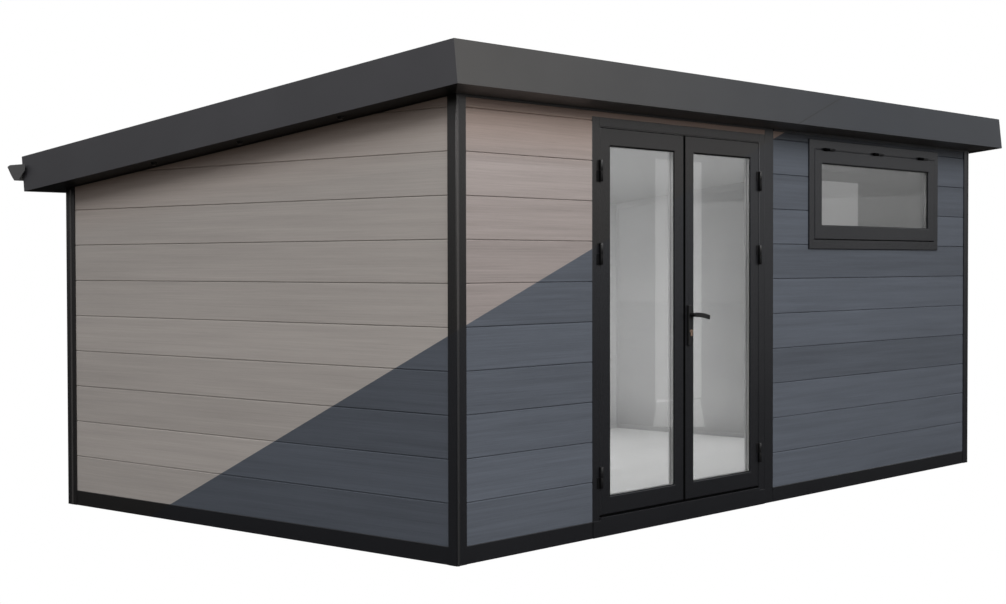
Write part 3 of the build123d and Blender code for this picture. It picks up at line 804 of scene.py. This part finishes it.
class BoardWall:
    """Wall of stacked boards, drawn along s, through the wall by t and up by z."""

    def __init__(self, place):
        self.place = place
        self.bm = bmesh.new()
        self.uv = self.bm.loops.layers.uv.new("UVMap")
        self.tone = self.bm.faces.layers.float.new("tone")
        self.side = self.bm.faces.layers.int.new("inner")

    def board(self, start, end, low, high, depth, chamfer_low, chamfer_high, tone, shift):
        """One board or a stretch of one, with bevelled edges where it meets its neighbours."""
        cut_low = JOINT_CHAMFER if chamfer_low else 0
        cut_high = JOINT_CHAMFER if chamfer_high else 0
        foot = low + (JOINT_HALF if chamfer_low else 0)
        head = high - (JOINT_HALF if chamfer_high else 0)
        profile = [
            (cut_low, foot), (0, foot + cut_low), (0, head - cut_high), (cut_high, head),
            (depth / 2, head), (depth, high), (depth, low), (depth / 2, foot),
        ]
        outline = [p for i, p in enumerate(profile) if p != profile[i - 1]]
        ends = [[self.bm.verts.new(self.place(s, t, z)) for t, z in outline] for s in (start, end)]
        count = len(outline)
        for i in range(count):
            j = (i + 1) % count
            face = self.bm.faces.new((ends[0][i], ends[0][j], ends[1][j], ends[1][i]))
            spots = ((start, outline[i]), (start, outline[j]), (end, outline[j]), (end, outline[i]))
            self.dress(face, spots, depth, tone, shift)
        for s, verts in zip((start, end), ends):
            face = self.bm.faces.new(verts)
            self.dress(face, [(s, p) for p in outline], depth, tone, shift)

    def dress(self, face, spots, depth, tone, shift):
        """Tone, side and grain coordinates of a face."""
        face[self.tone] = tone
        middle = sum(t for _, (t, _) in spots) / len(spots)
        face[self.side] = int(middle > depth / 2 + INNER_FACE_MARGIN)
        for loop, (s, (t, z)) in zip(face.loops, spots):
            loop[self.uv].uv = (s + shift, z + t + shift * GRAIN_SKEW)


def split_tones(wall):
    """Cuts the boards along the change of finish and gives each face its material."""
    normal = tone_normal()
    cut(wall.bm, CAMERA_PLACE, normal)
    for face in wall.bm.faces:
        below = (face.calc_center_median() - CAMERA_PLACE).dot(normal) > 0
        face.material_index = LINING if face[wall.side] else (SLATE if below else BEIGE)


def stack_boards(node, place, start, end, foot, head, depth, finishes, opening=None, fall=None):
    """Stacks boards from foot to head, leaving an opening free and cutting the top to a fall."""
    wall = BoardWall(place)
    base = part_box("base_rail_front")[1].z - FIRST_JOINT_DROP
    level = base
    while level < head - HEAD_MARGIN:
        top = level + BOARD_PITCH
        tone = draw.uniform(*BOARD_TONES)
        shift = draw.uniform(*GRAIN_SHIFTS)
        low = max(level, foot)
        high = min(top, head)
        if high > low:
            stretches = [(start, end, low, high)]
            if opening and high > opening[2] and low < opening[3]:
                stretches = [
                    (start, opening[0], max(low, opening[2]), min(high, opening[3])),
                    (opening[1], end, max(low, opening[2]), min(high, opening[3])),
                ]
                if low < opening[2]:
                    stretches.append((start, end, low, opening[2]))
                if high > opening[3]:
                    stretches.append((start, end, opening[3], high))
            for left, right, bottom, upper in stretches:
                wall.board(
                    left, right, bottom, upper, depth,
                    bottom == level and level > base, upper == top, tone, shift,
                )
        level = top
    if fall:
        cut(wall.bm, *fall, clear=True)
        bmesh.ops.holes_fill(wall.bm, edges=[e for e in wall.bm.edges if e.is_boundary])
    split_tones(wall)
    make_piece(f"{node}_boards", wall.bm, (*finishes, lining_board), "building", (node,))


def make_walls():
    """Board walls: the front and back in the front finishes, the sides in copies of them with painted
    light and shade.
    """
    front_finishes = (beige_board, slate_board)
    side_painted_light_finishes = (beige_side_lit_board, slate_side_shaded_board)
    for node in ("front_wall_left", "wall_over_door", "front_wall_right"):
        low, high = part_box(node)
        opening = None
        if node == "front_wall_right":
            hole_low, hole_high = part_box("window_frame")
            opening = (hole_low.x, hole_high.x, hole_low.z, hole_high.z)
        stack_boards(
            node, lambda s, t, z, y=low.y: (s, y + t, z),
            low.x, high.x, low.z, high.z, high.y - low.y, front_finishes, opening,
        )
    low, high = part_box("back_wall")
    stack_boards(
        "back_wall", lambda s, t, z: (s, high.y - t, z),
        low.x, high.x, low.z, high.z, high.y - low.y, front_finishes,
    )
    low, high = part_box("left_wall")
    stack_boards(
        "left_wall", lambda s, t, z: (low.x + t, s, z),
        low.y, high.y, low.z, high.z, high.x - low.x, side_painted_light_finishes, fall=sloping_top("left_wall"),
    )
    low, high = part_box("right_wall")
    stack_boards(
        "right_wall", lambda s, t, z: (high.x - t, s, z),
        low.y, high.y, low.z, high.z, high.x - low.x, (slate_side_shaded_board, slate_side_shaded_board),
        fall=sloping_top("right_wall"),
    )


def make_ceiling():
    """Lining boards under the roof deck."""
    front, up = sloping_top("left_top_rail")
    down_fall = Vector((0, up.z, -up.y))
    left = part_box("left_top_rail")[1].x
    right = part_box("right_top_rail")[0].x
    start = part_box("front_top_rails")[1].y
    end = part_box("back_top_rail")[0].y

    def place(s, t, z):
        return Vector((s, front.y, front.z)) + down_fall * z - up * t

    ceiling = BoardWall(place)
    level = (start - front.y) / up.z
    last = (end - front.y) / up.z
    while level < last:
        top = min(level + BOARD_PITCH, last)
        tone = draw.uniform(*CEILING_TONES)
        shift = draw.uniform(*GRAIN_SHIFTS)
        ceiling.board(left, right, level, top, CEILING_DEPTH, True, True, tone, shift)
        level = top
    make_piece("ceiling_boards", ceiling.bm, (lining_board,), "building")


# Panes and seals

def make_pane(node, body, glass, edging, seal):
    """Sealed pane: two sheets, a spacer between them, a gasket in front and a bead behind."""
    low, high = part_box(node)
    sheets = bmesh.new()
    block(sheets, low, (high.x, low.y + SHEET, high.z))
    block(sheets, (low.x, high.y - SHEET, low.z), high)
    make_piece(f"{node}_sheets", sheets, (glass,), body, (node,))
    spacer = bmesh.new()
    ring(spacer, low.x, high.x, low.z, high.z, SPACER_WIDTH, low.y + SHEET, high.y - SHEET)
    make_piece(f"{node}_spacer", spacer, (edging,), body)
    edge = (low.x + PANE_COVER, high.x - PANE_COVER, low.z + PANE_COVER, high.z - PANE_COVER)
    gasket = bmesh.new()
    ring(gasket, *edge, GASKET_WIDTH, low.y - GASKET_DEPTH, low.y)
    make_piece(f"{node}_gasket", gasket, (seal,), body)
    bead = bmesh.new()
    ring(bead, *edge, GASKET_WIDTH, high.y, high.y + GASKET_DEPTH)
    make_piece(f"{node}_bead", bead, (edging,), body)


def make_door_seals():
    """Seals round the leaves, between them and under them."""
    left_low, left_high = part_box("left_door_frame")
    right_low, right_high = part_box("right_door_frame")
    front = left_low.y + SEAL_SETBACK
    frame_seal = bmesh.new()
    portal(
        frame_seal, left_low.x - LEAF_GAP, right_high.x + LEAF_GAP, left_low.z, left_high.z + LEAF_GAP,
        LEAF_GAP - SEAL_PLAY, front, front + SEAL_DEPTH,
    )
    make_piece("door_frame_seal", frame_seal, (frame_coat,), "building")
    for name, body, low_x, high_x in (
        ("left_meeting_seal", "left_door", left_high.x - MEETING_COVER, left_high.x + MEETING_SEAL),
        ("right_meeting_seal", "right_door", right_low.x - MEETING_SEAL, right_low.x + MEETING_COVER),
    ):
        seal = bmesh.new()
        for near, far in MEETING_LIPS:
            block(seal, (low_x, left_low.y + near, left_low.z), (high_x, left_low.y + far, left_high.z))
        make_piece(name, seal, (shadow_black_rubber,), body)
    for side, low, high in (("left", left_low, left_high), ("right", right_low, right_high)):
        seal = bmesh.new()
        for near, far in FOOT_LIPS:
            block(seal, (low.x, low.y + near, low.z - FOOT_SEAL), (high.x, low.y + far, low.z))
        make_piece(f"{side}_foot_seal", seal, (shadow_black_rubber,), f"{side}_door")


def make_window_seal():
    """Seal in the gap round the sash."""
    low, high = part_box("window_sash")
    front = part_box("window_frame")[0].y + SEAL_SETBACK
    seal = bmesh.new()
    portal(
        seal, low.x - SASH_GAP, high.x + SASH_GAP, low.z, high.z + SASH_GAP,
        SASH_GAP - SEAL_PLAY / 2, front, front + SEAL_DEPTH,
    )
    make_piece("window_frame_seal", seal, (frame_coat,), "building")


# Beads and fixings

def bead_strip(bm, place, low, high):
    """Upright half-round bead, drawn across by s and outwards by t."""
    arc = [pi * i / BEAD_STEPS for i in range(BEAD_STEPS + 1)]
    outline = [(POST_BEAD_WIDTH / 2 * cos(angle), POST_BEAD_HEIGHT * sin(angle)) for angle in arc]
    rows = [[bm.verts.new(place(s, t, z)) for s, t in outline] for z in (low, high)]
    for i in range(BEAD_STEPS):
        bm.faces.new((rows[0][i], rows[0][i + 1], rows[1][i + 1], rows[1][i]))
    bm.faces.new([rows[0][0], rows[0][-1], rows[1][-1], rows[1][0]])
    for row in rows:
        bm.faces.new(row)


def make_post_beads():
    """Rolled beads down the outer faces of the corner posts, in a lighter coat that is a painted
    highlight.
    """
    beads = bmesh.new()
    for side, way in (("left", -1), ("right", 1)):
        low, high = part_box(f"front_{side}_post")
        arris = low.x if way < 0 else high.x
        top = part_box("front_top_rails")[0].z
        bead_strip(beads, lambda s, t, z: (arris - way * POST_BEAD_INSET + s, low.y - t, z), 0, top)
        low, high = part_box(f"back_{side}_post")
        face = low.x if way < 0 else high.x
        middle = high.y - BACK_BEAD_SHARE * (high.y - low.y)
        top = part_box("back_top_rail")[0].z
        bead_strip(beads, lambda s, t, z: (face + way * t, middle + s, z), 0, top)
    make_piece("post_beads", beads, (bead_highlight_coat,), "building")


def hinge_ends():
    """Left end of each window hinge."""
    places = sorted({round(v.co.x, PLACE_DIGITS) for v in nodes["window_hinges"].data.vertices})
    return [x for i, x in enumerate(places) if i == 0 or x - places[i - 1] > WINDOW_HINGE_APART]


def make_window_sleeves():
    """Black sleeve over the left half of each window hinge."""
    low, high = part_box("window_hinges")
    sleeves = bmesh.new()
    for start in hinge_ends():
        place = (start - SLEEVE_OVERHANG, low.y + WINDOW_HINGE_RADIUS, (low.z + high.z) / 2)
        stud(sleeves, place, Vector((1, 0, 0)), HINGE_SLEEVE)
    make_piece("window_hinge_sleeves", sleeves, (shadow_black_rubber,), "building")


def make_threshold_ribs():
    """Tread ribs along the threshold under the leaves."""
    low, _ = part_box("left_door_frame")
    _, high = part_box("right_door_frame")
    tread = low.z - LEAF_FOOT_GAP
    ribs = bmesh.new()
    for step in THRESHOLD_RIBS:
        y = low.y + step
        block(ribs, (low.x, y, tread), (high.x, y + THRESHOLD_RIB_WIDTH, tread + THRESHOLD_RIB_HEIGHT))
    make_piece("threshold_ribs", ribs, (frame_coat,), "building")


def make_lock_details():
    """Dark blocks painted as the shaded key slots of the cylinder, and the fixing screws of the inner
    plate.
    """
    low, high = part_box("lock_cylinder")
    middle = (low.x + high.x) / 2
    bore = high.z - (high.x - low.x) / 2
    # Dark blocks on the cylinder's faces stand for the keyways: painted shade.
    slot_shadows = bmesh.new()
    for near, far in (
        (low.y - KEY_SLOT_PROUD, low.y + KEY_SLOT_DEPTH),
        (high.y - KEY_SLOT_DEPTH, high.y + KEY_SLOT_PROUD),
    ):
        block(
            slot_shadows, (middle - KEY_SLOT_HALF_WIDTH, near, bore - KEY_SLOT_HALF_HEIGHT),
            (middle + KEY_SLOT_HALF_WIDTH, far, bore + KEY_SLOT_HALF_HEIGHT),
        )
    make_piece("key_slot_shadows", slot_shadows, (shadow_black_rubber,), "right_door")
    low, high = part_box("handle_plates")
    screws = bmesh.new()
    for z in (low.z + PLATE_SCREW_INSET, high.z - PLATE_SCREW_INSET):
        stud(screws, (middle, high.y, z), Vector((0, 1, 0)), PLATE_SCREW)
    make_piece("plate_screws", screws, (fitting_coat,), "right_door")


def on_slope(slope, x, depth):
    """Point on the sloping top of the side rails."""
    front, up = slope
    return Vector((x, depth, front.z - (depth - front.y) * up.y / up.z))


def make_roof_screws():
    """Screws with washers along the crowns of the deck ribs."""
    slope = sloping_top("left_top_rail")
    up = slope[1]
    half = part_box("roof_deck")[1].x
    pitch = 2 * half / DECK_RIB_COUNT
    screws = bmesh.new()
    for rib in range(DECK_RIB_COUNT):
        x = half - (rib + 0.5) * pitch
        for depth in ROOF_SCREW_DEPTHS:
            stud(screws, on_slope(slope, x, depth) + up * DECK_CROWN, up, ROOF_SCREW, ROOF_SCREW_SIDES)
    make_piece("roof_screws", screws, (gutter_coat,), "building")


def make_gutter_straps():
    """Straps across the gutter, hooked down behind its outer lip."""
    low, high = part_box("gutter")
    hook_start, hook_end = (high.y - inset for inset in STRAP_HOOK_INSETS)
    under = high.z - STRAP_UNDER_DROP
    straps = bmesh.new()
    for i in range(STRAP_COUNT):
        x = low.x + (i + 0.5) * (high.x - low.x) / STRAP_COUNT
        left = x - STRAP_HALF_WIDTH
        right = x + STRAP_HALF_WIDTH
        block(
            straps, (left, low.y + STRAP_WALL_INSET, under),
            (right, high.y - STRAP_LIP_INSET, high.z - STRAP_TOP_DROP),
        )
        block(straps, (left, hook_start, high.z - STRAP_HOOK_DROP), (right, hook_end, under))
    make_piece("gutter_straps", straps, (gutter_coat,), "building")


def make_soffit_knobs():
    """Round caps under the side soffits."""
    slope = sloping_top("left_top_rail")
    up = slope[1]
    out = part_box("right_wall")[1].x + SOFFIT_KNOB_REACH
    knobs = bmesh.new()
    for depth in SOFFIT_KNOB_DEPTHS:
        for x in (-out, out):
            stud(knobs, on_slope(slope, x, depth) - up * DECK_LIFT, -up, SOFFIT_KNOB)
    make_piece("soffit_knobs", knobs, (fitting_coat,), "building")


# CAD nodes

def soften(node):
    """Rounds the sharp edges of a CAD node."""
    weld = node.modifiers.new("weld", "WELD")
    weld.merge_threshold = EDGE_WELD
    bevel = node.modifiers.new("soft_edges", "BEVEL")
    bevel.width = EDGE_RADIUS
    bevel.segments = EDGE_SEGMENTS
    bevel.limit_method = "ANGLE"
    bevel.angle_limit = radians(EDGE_ANGLE)
    bevel.harden_normals = True


def dress_nodes():
    """Material by record slot on every CAD node, and softened edges on the metal ones."""
    coats = {
        "charcoal_aluminium": frame_coat,
        "fascia_metal": fascia_coat,
        "deck_metal": deck_coat,
        "boards": beige_board,
        "floor_board": floor_laminate,
        "glass": clear_glass,
        "dark_fittings": fitting_coat,
        "brass": brass,
    }
    own_coats = {"front_fascia": front_fascia_coat, "gutter": gutter_coat, "gutter_end_caps": gutter_coat}
    for side in ("left", "right"):
        own_coats[f"{side}_jamb_hinges"] = hinge_coat
        own_coats[f"{side}_door_frame"] = leaf_coat
    softened = ("charcoal_aluminium", "fascia_metal", "dark_fittings", "brass")
    for subpart in frame["record"]["subparts"]:
        node = nodes[subpart["node"]]
        slot = subpart["material_slot"]
        node.data.materials.clear()
        node.data.materials.append(own_coats.get(node.name, coats[slot]))
        if slot in softened:
            soften(node)


# Stage and light

def make_stage():
    """Floor that is white for the camera, dark in mirrors, and throws little light back."""
    bm = bmesh.new()
    corners = ((-1, -1), (1, -1), (1, 1), (-1, 1))
    bm.faces.new([bm.verts.new((x * STAGE_HALF, y * STAGE_HALF, STAGE_LEVEL)) for x, y in corners])
    mesh = bpy.data.meshes.new("stage_floor")
    bm.to_mesh(mesh)
    bm.free()
    floor = bpy.data.objects.new("stage_floor", mesh)
    scene.collection.objects.link(floor)
    material = bpy.data.materials.new("stage_floor")
    material.use_nodes = True
    tree = material.node_tree
    tree.nodes.clear()
    path = add(tree, "ShaderNodeLightPath")
    bounce = add(tree, "ShaderNodeBsdfDiffuse", {"Color": (*FLOOR_BOUNCE, 1)})
    dim = add(tree, "ShaderNodeBsdfDiffuse", {"Color": (*FLOOR_MIRRORED, 1)})
    white = add(tree, "ShaderNodeEmission", {"Color": (*WHITE, 1), "Strength": 1.0})
    lit = mixed_shader(tree, path.outputs["Is Glossy Ray"], bounce.outputs["BSDF"], dim.outputs["BSDF"])
    seen = mixed_shader(tree, path.outputs["Is Camera Ray"], lit, white.outputs["Emission"])
    output = add(tree, "ShaderNodeOutputMaterial")
    tree.links.new(seen, output.inputs["Surface"])
    mesh.materials.append(material)


def make_world():
    """White backdrop for the camera, and for the light a sky that is brightest near the horizon."""
    world = bpy.data.worlds.new("studio")
    scene.world = world
    world.use_nodes = True
    tree = world.node_tree
    tree.nodes.clear()
    path = add(tree, "ShaderNodeLightPath")
    backdrop = add(tree, "ShaderNodeBackground", {"Color": (*WHITE, 1), "Strength": 1.0})
    sky = add(tree, "ShaderNodeBackground")
    axes = axes_of(tree, add(tree, "ShaderNodeTexCoord").outputs["Generated"])
    tree.links.new(ramp(tree, axes["Z"], SKY_STOPS), sky.inputs["Color"])
    turned = spread(tree, axes["Y"], 0, 1, -1, 1)
    stops = [(place, shade(WHITE, level)) for place, level in ROUND_LEVELS]
    tree.links.new(ramp(tree, turned, stops), sky.inputs["Strength"])
    seen = mixed_shader(
        tree, path.outputs["Is Camera Ray"], sky.outputs["Background"], backdrop.outputs["Background"],
    )
    output = add(tree, "ShaderNodeOutputWorld")
    tree.links.new(seen, output.inputs["Surface"])


def area_light(name, place, target, size, power, colour=WHITE, mirrored=True, beam=180, turn=0):
    """Lamp that only lights: the camera and rays through glass don't see it."""
    data = bpy.data.lights.new(name, "AREA")
    data.shape = "RECTANGLE"
    data.size, data.size_y = size
    data.energy = power
    data.color = colour
    data.spread = radians(beam)
    light = bpy.data.objects.new(name, data)
    light.location = place
    aim = Vector(target) - Vector(place)
    light.rotation_euler = aim.to_track_quat("-Z", "Y").to_euler()
    light.rotation_euler.rotate_axis("Z", radians(turn))
    light.visible_camera = False
    light.visible_transmission = False
    light.visible_glossy = mirrored
    scene.collection.objects.link(light)
    return light


def make_studio_lights():
    """Large soft lamps round the stage."""
    area_light(
        "key", place=(-2.6, -10.0, 7.3), target=(-0.8, -1.5, 1.0), size=(6, 5), power=725,
        colour=(1, 0.98, 0.96),
    )
    area_light(
        "left_fill", place=(-11.0, -0.6, 8.2), target=(-2.6, -0.3, 1.0), size=(5, 4), power=595,
        colour=(0.99, 0.99, 0.99),
    )
    area_light("corner_fill", place=(-7.0, -6.0, 4.5), target=(-2.6, -1.6, 1.8), size=(2, 2), power=70)
    area_light("back_fill", place=(7.5, 8.0, 6.5), target=(0.8, 0.8, 1.0), size=(5, 4), power=420)
    area_light("right_fill", place=(11.5, 0.8, 6.5), target=(2.7, 0.2, 1.0), size=(5, 4), power=480)


def make_room_lights():
    """Lamps in the room, for what is seen through the panes."""
    area_light(
        "room_down", place=(0.0, 0.0, 1.84), target=(0.0, 0.0, 0), size=(5.1, 3.1), power=34,
        mirrored=False, beam=95,
    )
    area_light(
        "room_up", place=(0.4, 0.4, 0.12), target=(0.4, 0.4, 2.0), size=(4.0, 1.9), power=8,
        mirrored=False,
    )
    area_light(
        "room_side", place=(-0.4, 0.9, 1.02), target=(2.5, 1.4, 1.02), size=(0.5, 1.7), power=2.0,
        mirrored=False, beam=54,
    )
    area_light(
        "room_back", place=(2.0, -0.3, 0.85), target=(2.6, 1.7, 0.75), size=(0.5, 1.6), power=1.8,
        mirrored=False, beam=45,
    )


def make_strips():
    """Strips that the panes mirror. The near ones light nothing but the panes."""
    near_strips = (
        area_light(
            "near_strip", place=(5.55, -6.0, 1.2), target=(5.55, 0, 1.2), size=(0.8, 2.4), power=8.5,
        ),
        area_light(
            "near_foot", place=(4.4, -5.19, 0.01), target=(4.4, -5.19, 1), size=(2.81, 0.43), power=5.35,
            turn=35.2,
        ),
    )
    panes = bpy.data.collections.new("panes")
    for piece in scene.objects:
        if piece.name.endswith("_sheets"):
            panes.objects.link(piece)
    for strip in near_strips:
        strip.light_linking.receiver_collection = panes
    area_light("far_strip", place=(8.68, -6.0, 1.15), target=(8.68, 0, 1.15), size=(0.9, 2.3), power=8.0)


make_camera()
make_world()
make_walls()
make_ceiling()
make_pane("left_door_glass", "left_door", clear_glass, spacer_coat, shadow_black_rubber)
make_pane("right_door_glass", "right_door", clear_glass, spacer_coat, shadow_black_rubber)
make_pane("window_glass", "building", darker_window_glass, grey_spacer_coat, fitting_coat)
make_door_seals()
make_window_seal()
make_post_beads()
make_window_sleeves()
make_threshold_ribs()
make_lock_details()
make_roof_screws()
make_gutter_straps()
make_soffit_knobs()
dress_nodes()
make_stage()
make_studio_lights()
make_room_lights()
make_strips()
scene.view_settings.view_transform = "Standard"
